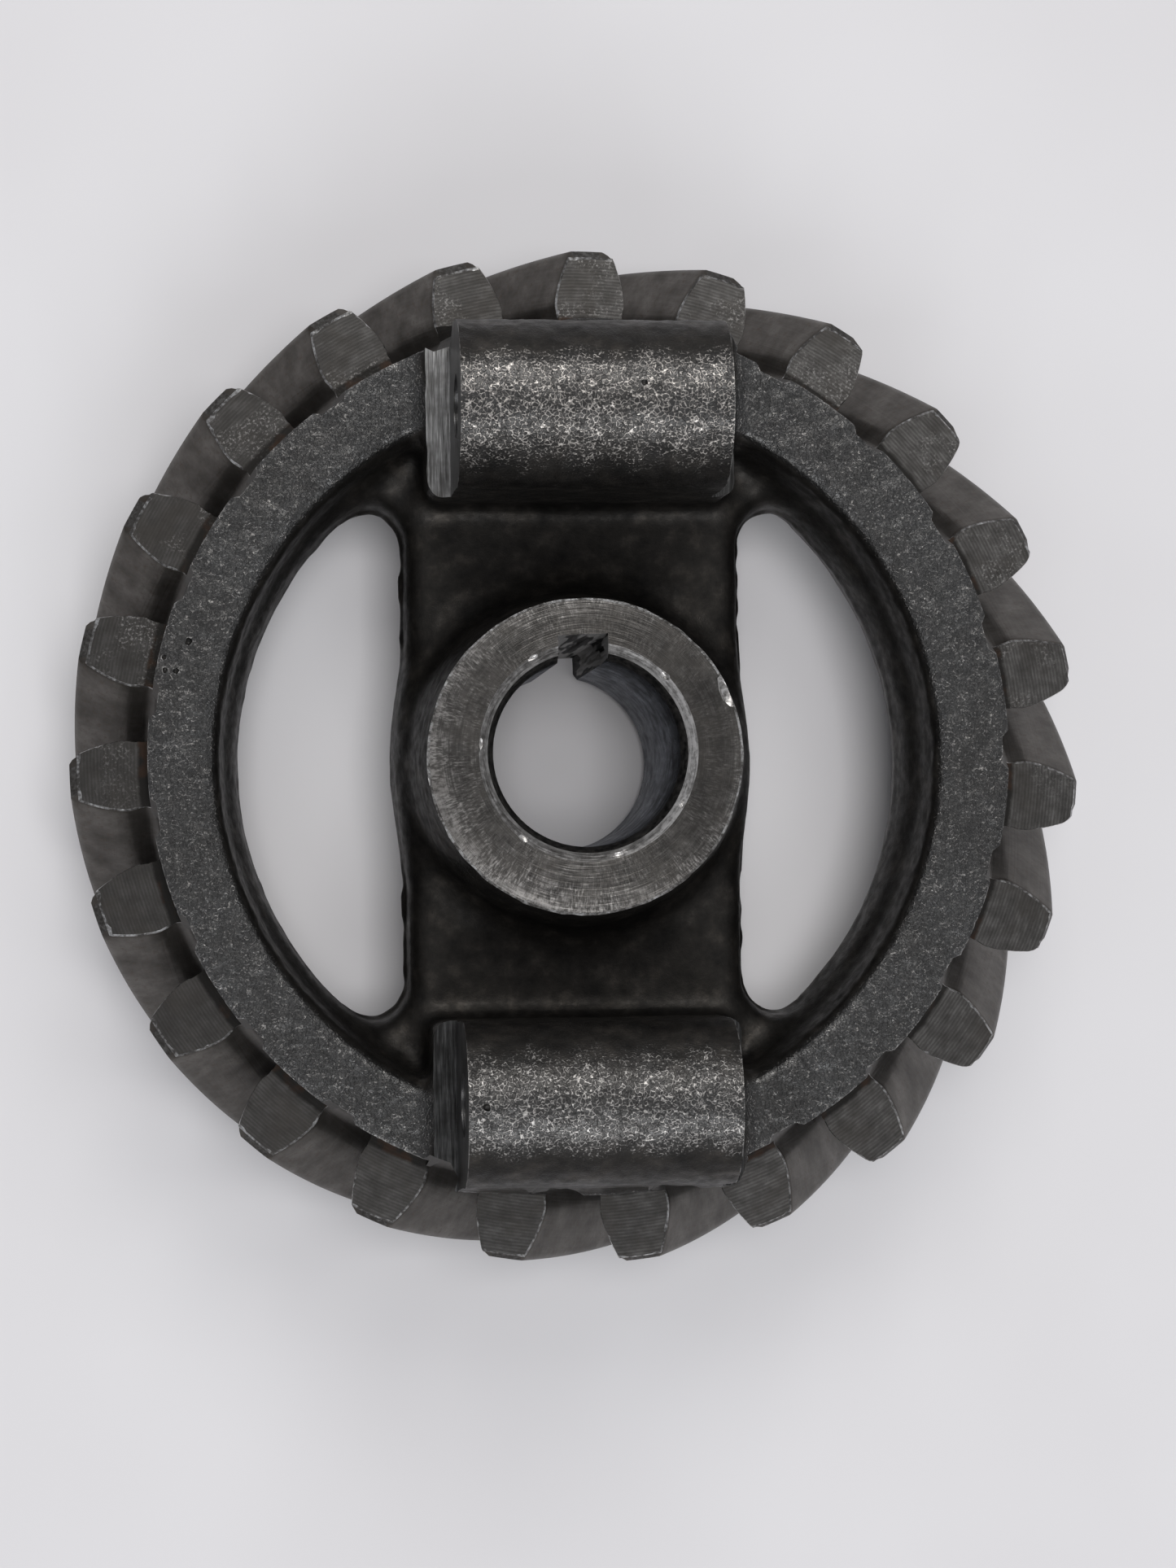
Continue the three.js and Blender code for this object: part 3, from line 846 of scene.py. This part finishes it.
def bruised_face():
    """Metal knocked out of the hub's edges: a pitted bowl, painted bright near the top face as a highlight
    on its lip.
    """
    f = Finish("fresh_bruise", 0.9, 0.36)
    pits = f.noise(1.5, 3.0, 0.65)
    bowl = f.ramp(pits, (0.32, grey(0.14, 0.05)), (0.50, grey(0.42, 0.03)), (0.62, grey(0.75, 0.02)))
    height = f.add(f.axis("Z"), f.times(pits, 0.3))
    # Painted highlight: bright within about 0.3 mm of the top face, so that the bowl below reads darker.
    painted_lip_light = f.span(height, HUB_TOP - 0.32, HUB_TOP + 0.02)
    return f.finish(f.mix(painted_lip_light, bowl, grey(0.8, 0.02)), f.bump(pits, 0.1))


def bevel_face():
    """The bevel at the bore's edge, knocked bright along its inner rim, with painted light that lightens it
    towards +X.
    """
    f = Finish("bruised_bevel", 0.9, 0.36)
    pits = f.noise(1.3, 3.0, 0.65)
    rings = f.noise(1.0, 2.0, 0.6, f.around(4.0, outward=5.0))
    broken = f.span(f.noise(0.35, 2.0), 0.4, 0.6, 0.25, 1.0)
    inner = f.times(f.span(f.radius(), 13.15, 12.75), broken)
    level = f.add(f.times(pits, 0.5), f.times(rings, 0.5))
    # Painted light: lighter towards +X.
    level = f.add(level, f.span(f.axis("X"), -6.0, 12.0, -0.03, 0.07))
    colour = f.ramp(level, (0.36, grey(0.14, 0.05)), (0.50, grey(0.34, 0.03)), (0.62, grey(0.7, 0.02)))
    return f.finish(f.mix(inner, colour, grey(0.85, 0.02)), f.bump(level, 0.07))


def bore_face():
    """The bore's wall: smooth and dark, with stains along its length that also serve as painted blue-grey
    reflections, and painted shade towards the top.
    """
    f = Finish("bore_wall", 0.85, 0.26)
    f.shader.inputs["Specular Tint"].default_value = (0.55, 0.57, 0.61, 1)
    stains_and_reflections = f.noise(1.0, 3.0, 0.6, f.around(9.0, up=0.1))
    spots = f.noise(0.4, 3.0, 0.6)
    # Painted reflections, with stains: streaks along the bore from dark to blue-grey.
    colour = f.ramp(stains_and_reflections, (0.3, grey(0.05, 0.02)), (0.55, (0.12, 0.126, 0.135)),
                    (0.75, (0.21, 0.22, 0.235)))
    colour = f.mix(f.span(spots, 0.48, 0.66, 0.0, 0.7), colour, grey(0.03, 0.1))
    # Painted shade: darker towards the top of the bore.
    colour = f.mix(f.span(f.axis("Z"), 34.0, 43.0, 0.0, 0.6), colour, grey(0.02))
    return f.finish(colour, f.bump(stains_and_reflections, 0.03), f.span(spots, 0.3, 0.7, 0.26, 0.42))


def lead_in_face(name="oil_and_shade_lead_in"):
    """Near black: old oil and painted shade in the steep lead-in below the bevel, and painted shade in the
    blow holes.
    """
    f = Finish(name, 0.6, 0.45)
    film = f.noise(1.2, 3.0, 0.6)
    return f.finish(f.ramp(film, (0.35, grey(0.006)), (0.7, grey(0.05, 0.06))), f.bump(film, 0.08))


def milled_face(name="milled_face", level=1.0):
    """End-milled: fine straight marks along the bar, clean grey, stained in places."""
    f = Finish(name, 0.9, 0.34)
    lines = f.noise(1.0, 3.0, 0.6, f.stretched(4.6, 0.22, 0.3))
    stain = f.noise(0.3, 3.0, 0.6)
    colour = f.ramp(lines, (0.34, grey(0.12 * level, 0.02)), (0.52, grey(0.33 * level)),
                    (0.68, grey(0.66 * level)))
    colour = f.mix(f.span(stain, 0.4, 0.7, 0.0, 0.55), colour, grey(0.09 * level, 0.05))
    return f.finish(colour, f.bump(lines, 0.03))


def end_face():
    """Tooth ends: turned in fine concentric grooves, dulled by oil, with painted shade towards -X, dark and
    rust-brown at the foot of the ring.
    """
    f = Finish("turned_tooth_end", 0.85, 0.38)
    wobble = f.times(f.noise(0.5, 2.0), 0.15)
    groove = f.math("SINE", f.times(f.add(f.radius(), wobble), TAU / 0.42))
    streak = f.noise(1.0, 3.0, 0.6, f.around(24.0, outward=2.5))
    clouds = f.noise(0.5, 4.0, 0.65)
    stain = f.noise(0.2, 3.0, 0.6)
    level = f.add(f.times(groove, 0.06), f.times(streak, 0.4))
    level = f.add(level, f.times(clouds, 0.6))
    colour = f.ramp(level, (0.3, grey(0.055, 0.05)), (0.5, grey(0.094, 0.04)), (0.72, grey(0.18, 0.03)))
    # Painted shade: the tooth ends darken towards -X.
    colour = f.mix(f.span(f.axis("X"), 30.0, -60.0, 0.0, 0.55), colour, grey(0.045, 0.06))
    colour = f.mix(f.span(stain, 0.42, 0.7, 0.0, 0.5), colour, grey(0.065, 0.10))
    patch = f.times(f.span(f.noise(0.16, 2.0), 0.46, 0.6), f.span(f.axis("Y"), -20.0, 20.0))
    speckle = f.times(patch, f.span(f.noise(2.6, 3.0, 0.65), 0.52, 0.66, 0.0, 0.7))
    colour = f.mix(speckle, colour, grey(0.36, 0.03))
    # Darker and rust-brown at the foot of the ring.
    rust = f.mix(f.span(f.noise(0.3, 2.0), 0.5, 0.65), grey(0.018, 0.08), (0.045, 0.026, 0.017))
    foot = f.span(f.add(f.radius(), f.times(clouds, 0.5)), 56.9, 56.5, 0.0, 0.85)
    return f.finish(f.mix(foot, colour, rust), f.bump(groove, 0.0012))


def flank_face(name="hobbed_flank", level=1.0):
    """Hobbed flanks: satin, brown-grey with dried oil, darker towards the roots with grime and painted
    shade.
    """
    f = Finish(name, 0.75, 0.4)
    clouds = f.noise(0.22, 4.0, 0.62)
    specks = f.noise(1.6, 3.0, 0.6)
    feed = f.noise(1.0, 2.0, 0.5, f.around(2.0, outward=2.2, up=0.25))
    colour = f.ramp(clouds, (0.3, grey(0.034 * level, 0.14)), (0.5, grey(0.068 * level, 0.10)),
                    (0.7, grey(0.112 * level, 0.08)))
    colour = f.mix(f.span(specks, 0.52, 0.7, 0.0, 0.5), colour, (0.056, 0.040, 0.029))
    # Grime and painted shade: darker inside a radius of about 58.6 mm, towards the roots.
    reach = f.add(f.radius(), f.times(clouds, 0.6))
    colour = f.mix(f.span(reach, 58.8, 58.4, 0.0, 0.34), colour, grey(0.03, 0.1))
    return f.finish(colour, f.bump(feed, 0.03, f.bump(clouds, 0.06)))


def burr_edge(name="burr_edge"):
    """The thin turned-over burr along an edge, bright only where it has been rubbed."""
    f = Finish(name, 0.9, 0.3)
    rub = f.times(f.noise(0.45, 2.0), 0.5)
    rub = f.add(rub, f.times(f.noise(2.2, 2.0), 0.5))
    colour = f.ramp(rub, (0.42, grey(0.10, 0.05)), (0.52, grey(0.28, 0.02)), (0.62, grey(0.6)))
    return f.finish(colour, f.bump(f.noise(3.0, 2.0), 0.05))


def tip_face():
    """Tooth tips: turned, rolled and speckled by wear."""
    f = Finish("worn_tip", 0.8, 0.42)
    pits = f.noise(2.2, 3.0, 0.62)
    colour = f.ramp(pits, (0.35, grey(0.045, 0.07)), (0.52, grey(0.075, 0.05)), (0.7, grey(0.135, 0.03)))
    return f.finish(colour, f.bump(pits, 0.04))


def rusted_step():
    """The narrow turned wall around the ring, with a little rust lodged at its foot."""
    f = Finish("ring_step", 0.6, 0.5)
    rust = f.noise(0.5, 4.0, 0.65)
    colour = f.ramp(rust, (0.36, grey(0.025, 0.05)), (0.56, (0.045, 0.034, 0.026)),
                    (0.72, (0.095, 0.052, 0.03)))
    rim = f.span(f.axis("Z"), RING_TOP - 0.45, RING_TOP - 0.1)
    colour = f.mix(f.times(rim, f.span(f.noise(1.3, 3.0), 0.45, 0.65)), colour, grey(0.4))
    return f.finish(colour, f.bump(rust, 0.08))


def keyway_wall():
    """Broached walls of the keyway, bruised, with black grease left on them and painted highlights on its
    lumps.
    """
    f = Finish("keyway_wall", 0.8, 0.4)
    f.shader.inputs["Specular Tint"].default_value = (0.3, 0.3, 0.3, 1)
    grease_and_sheen = f.noise(1.0, 2.0, 0.5, f.stretched(0.55, 0.55, 0.06))
    # Painted highlights: the grease's high spots go light grey.
    colour = f.ramp(grease_and_sheen, (0.46, grey(0.004, 0.1)), (0.50, grey(0.02, 0.05)), (0.54, grey(0.55, 0.02)))
    return f.finish(colour, f.bump(grease_and_sheen, 0.8))


def floor_finish():
    """Pale and even, with a faint change over a hand's breadth."""
    f = Finish("pale_floor", 0.0, 0.5, 0.3)
    colour = f.ramp(f.noise(0.012, 3.0), (0.3, (0.585, 0.578, 0.592)), (0.7, (0.625, 0.622, 0.638)))
    return f.finish(colour)


def all_skins():
    """Every finish of the part, by the name that the cutting solids use."""
    return {
        "cast": cast_skin(), "turned": turned_face(), "bore": bore_face(), "bevel": bevel_face(),
        "bruise": bruised_face(), "lead_in": lead_in_face(), "keyway": keyway_wall(),
        "milled": milled_face(), "drilled": milled_face("drilled_wall", 0.5),
        "hobbed": flank_face("hob_mark", 0.42), "step": rusted_step(), "end_face": end_face(),
        "flank": flank_face(), "tip": tip_face(), "burr": burr_edge(),
        # The darker copy of the milled finish is stain and painted shade.
        "stained_and_shaded": milled_face("stained_and_shaded_milled", 0.26), "parting": lead_in_face("parting"),
        "rim_burr": burr_edge("rubbed_rim"),
    }


# ---- building the part
SHARP = math.radians(38)
# How far the painted shade under the lower boss's crest, and with it the edge of its band of painted
# glints, is moved outward.
GLINT_SHIFT = 1.6

# Finishes of flat faces, which are shaded flat.
PLANES = {"turned_face", "turned_tooth_end", "milled_face", "stained_and_shaded_milled", "parting", "rubbed_rim",
          "keyway_wall"}


def smooth_step(value, low, high):
    """A value carried smoothly from 0 at one end of a range to 1 at the other."""
    return eased(np.clip((value - low) / (high - low), 0, 1))


def sampled(grid, points):
    """Grid values at points in millimetres, from the nearest cell."""
    place = np.rint((points - GRID_CORNER) / VOXEL).astype(int)
    place = np.clip(place, 0, np.array(grid.shape) - 1)
    return grid[place[:, 0], place[:, 1], place[:, 2]]


def vertices_of(mesh):
    """The mesh's points, in millimetres."""
    flat = np.empty(len(mesh.vertices) * 3, np.float32)
    mesh.vertices.foreach_get("co", flat)
    return flat.reshape(-1, 3) / MM


def store(mesh, name, values):
    mesh.attributes.new(name, "FLOAT", "POINT").data.foreach_set("value", values.astype(np.float32))


def sharp_points(mesh):
    """One at each point on a sharp outward edge of the casting, and zero elsewhere."""
    work = bmesh.new()
    work.from_mesh(mesh)
    parted = mesh.materials.find("parting")
    marks = np.zeros(len(work.verts), np.float32)
    for edge in work.edges:
        hidden = any(face.material_index == parted for face in edge.link_faces)
        if not hidden and edge.calc_face_angle_signed(0.0) > SHARP:
            marks[[vert.index for vert in edge.verts]] = 1
    work.free()
    return marks


def mark_surface(mesh, filled):
    """Store, for each point of a cast piece, its painted shade in creases, its oil and painted shade, and
    how sharp it is.
    """
    points = vertices_of(mesh)
    x, y, z = points.T
    store(mesh, "crease_shade", sampled(filled, points) - 0.5)
    store(mesh, "edge", sharp_points(mesh))
    radius = np.hypot(x - CAST_X, y - CAST_Y)
    # Oil and painted shade: dark inside the rim below the ring and at the feet of the raised parts, and on
    # the bosses' inner sides under the crest, which face away from the lights. The bosses' outer flanks are
    # darkened too.
    inside = 1 - smooth_step(radius, 46.2, 47.0)
    low = 1 - smooth_step(z, 37.5, 47.0)
    foot = 1 - smooth_step(z, 39.5, 42.5)
    to_axis = BOSS_DISTANCE - np.abs(y - BOSS_Y)
    shift = GLINT_SHIFT * (y < 0)
    shade_under_crest = smooth_step(to_axis + shift + 0.5 * np.sin(x * 0.9) + 0.3 * np.sin(x * 2.3), 1.5, 10.5)
    outer_flank = 0.95 * smooth_step(0.4 * np.sin(x * 0.7) - to_axis, 2.8, 6.6) * smooth_step(z, 39.7, 41)
    oil_and_shade_inside = inside * np.maximum(np.maximum(low, foot), shade_under_crest)
    store(mesh, "oil_and_shade", np.maximum(oil_and_shade_inside, outer_flank))


def settle(obj, name, node, filled=None):
    """Give a finished piece its name, body and shading, and hide its CAD node."""
    obj.name = name
    mesh = obj.data
    mesh.name = name
    if filled is not None:
        without_slivers(mesh)
        mark_surface(mesh, filled)
    mesh.shade_smooth()
    mesh.set_sharp_from_angle(angle=SHARP)
    flat = [index for index, material in enumerate(mesh.materials) if material.name in PLANES]
    for face in mesh.polygons:
        face.use_smooth = face.material_index not in flat
    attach(obj, "root")
    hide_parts(node)


def rim_region(material):
    """The rim's share: all outside one radius, and in the open windows the flash inside it too."""
    region = turned(rectangle(RIM_SHARE_RADIUS, OUTSIDE_ALL, BELOW_ALL, RIM_SHARE_TOP), material)
    for middle in (0, math.pi):
        flash = turned(rectangle(FLASH_INNER, FLASH_OUTER, BELOW_ALL, RIM_SHARE_TOP), material,
                       sides=48, start=middle - FLASH_ARC, sweep=2 * FLASH_ARC)
        region = combine(region, flash, "UNION")
    return region


def without_slivers(mesh):
    """Take out the zero-size faces that the cuts leave."""
    work = bmesh.new()
    work.from_mesh(mesh)
    bmesh.ops.dissolve_degenerate(work, dist=2e-6, edges=work.edges)
    work.to_mesh(mesh)
    work.free()


def build_part():
    """Cast, machine and part the gear, and give every section its finish."""
    skin = all_skins()
    field = casting_field()
    # A blurred share of metal round each point, from which the painted shade in creases is taken.
    filled = blurred(blurred(np.clip(0.5 - field / VOXEL, 0, 1).astype(np.float32), 3), 3)
    points, quads = mesh_of_field(field)
    body = piece("casting", points, quads.tolist(), skin["cast"])
    combine(body, machining(skin), "DIFFERENCE")

    def part_off(region):
        """Take the part of the casting that lies in a region, and leave the rest."""
        taken = copy_of(body, "section")
        twin = copy_of(region, "region")
        combine(taken, region, "INTERSECT")
        combine(body, twin, "DIFFERENCE")
        return taken

    hidden = skin["parting"]
    rim = part_off(rim_region(hidden))
    settle(rim, "cast_rim_body", "cast_rim", filled)
    hub = part_off(prism(circle(HUB_SHARE_RADIUS, CAST_X, CAST_Y, 192), BELOW_ALL, END_OF_PARTING, hidden))
    settle(hub, "keyed_hub_body", "keyed_hub", filled)
    for side, label in ((1, "upper"), (-1, "lower")):
        y0, y1 = sorted((side * BOSS_SHARE_START, side * 64))
        boss = part_off(prism(rectangle(-24, 24, y0, y1), BOSS_FOOT, ABOVE_ALL + 6, hidden))
        settle(boss, f"{label}_boss_body", f"{label}_pivot_boss", filled)
    lower = part_off(prism(rectangle(-62, 62, -62, CAST_Y), BELOW_ALL, END_OF_PARTING, hidden))
    settle(lower, "lower_arm_body", "lower_web_arm", filled)
    settle(body, "upper_arm_body", "upper_web_arm", filled)
    settle(tooth_ring(skin), "tooth_ring_body", "tooth_ring")


# ---- stage
CAMERA_PLACE = (-0.04382, -0.01676, 0.46691)
CAMERA_TURN = (1.794, -5.899, -0.7)
CAMERA_LENS = 77.416
CAMERA_FRAME = 36.0
LIGHT_DISTANCE = 1.1

# The floor lies a hair below the gear, so that no two faces share a plane.
FLOOR_DROP = 0.05
FLOOR_HALF = 3000

# The surroundings' strength from the sides and straight overhead, and the angles from the
# vertical between which it falls.
SIDE_STRENGTH, OVERHEAD_STRENGTH = 0.34, 0.13
DIM_FROM, DIM_TO = math.radians(27), math.radians(4)


def add_camera():
    """The camera that was fitted to the object's outline, without shift or depth of field."""
    data = bpy.data.cameras.new("camera")
    data.sensor_fit = "VERTICAL"
    data.sensor_height = CAMERA_FRAME
    data.lens = CAMERA_LENS
    camera = bpy.data.objects.new("camera", data)
    camera.location = CAMERA_PLACE
    camera.rotation_euler = [math.radians(a) for a in CAMERA_TURN]
    bpy.context.collection.objects.link(camera)
    bpy.context.scene.camera = camera


def add_floor():
    outline = rectangle(-FLOOR_HALF, FLOOR_HALF, -FLOOR_HALF, FLOOR_HALF)
    floor = piece("floor", [[x, y, -FLOOR_DROP] for x, y in outline], [[0, 1, 2, 3]], floor_finish())


def add_light(name, azimuth, painted_light_lean, size, energy, tint=(1, 1, 1)):
    """A soft square light that looks at the part. Azimuth is from +X, lean is from the vertical."""
    data = bpy.data.lights.new(name, "AREA")
    data.size = size
    data.energy = energy
    data.color = tint
    light = bpy.data.objects.new(name, data)
    around, down = math.radians(azimuth), math.radians(painted_light_lean)
    light.location = [LIGHT_DISTANCE * math.sin(down) * math.cos(around),
                      LIGHT_DISTANCE * math.sin(down) * math.sin(around), LIGHT_DISTANCE * math.cos(down)]
    light.rotation_euler = (0, down, around)
    bpy.context.collection.objects.link(light)
    return light


def add_surroundings():
    """Soft light from all round, dimmer straight overhead."""
    world = bpy.data.worlds.new("soft_surroundings")
    world.use_nodes = True
    nodes, links = world.node_tree.nodes, world.node_tree.links
    direction = nodes.new("ShaderNodeTexCoord").outputs["Generated"]
    height = nodes.new("ShaderNodeSeparateXYZ")
    links.new(direction, height.inputs[0])
    strength = nodes.new("ShaderNodeMapRange")
    strength.interpolation_type = "SMOOTHSTEP"
    links.new(height.outputs["Z"], strength.inputs["Value"])
    for name, value in (("From Min", math.cos(DIM_FROM)), ("From Max", math.cos(DIM_TO)),
                        ("To Min", SIDE_STRENGTH), ("To Max", OVERHEAD_STRENGTH)):
        strength.inputs[name].default_value = value
    background = nodes["Background"]
    background.inputs["Color"].default_value = (0.90, 0.91, 0.95, 1)
    links.new(strength.outputs[0], background.inputs["Strength"])
    bpy.context.scene.world = world


def add_lights():
    """One light overhead that metal does not mirror, and one on each side of it along the bar."""
    ceiling = add_light("light_ceiling", 0, 0, 0.36, 6.3, (1.0, 0.985, 0.985))
    ceiling.visible_glossy = False
    add_light("light_above", 84, 35, 0.5, 3.7, (1.0, 0.985, 0.96))
    add_light("light_below", -88, 36, 0.5, 3.3, (0.97, 0.985, 1.0))


bpy.context.scene.view_settings.view_transform = "Standard"
add_camera()
add_floor()
add_surroundings()
add_lights()
build_part()

bpy.context.view_layer.update()
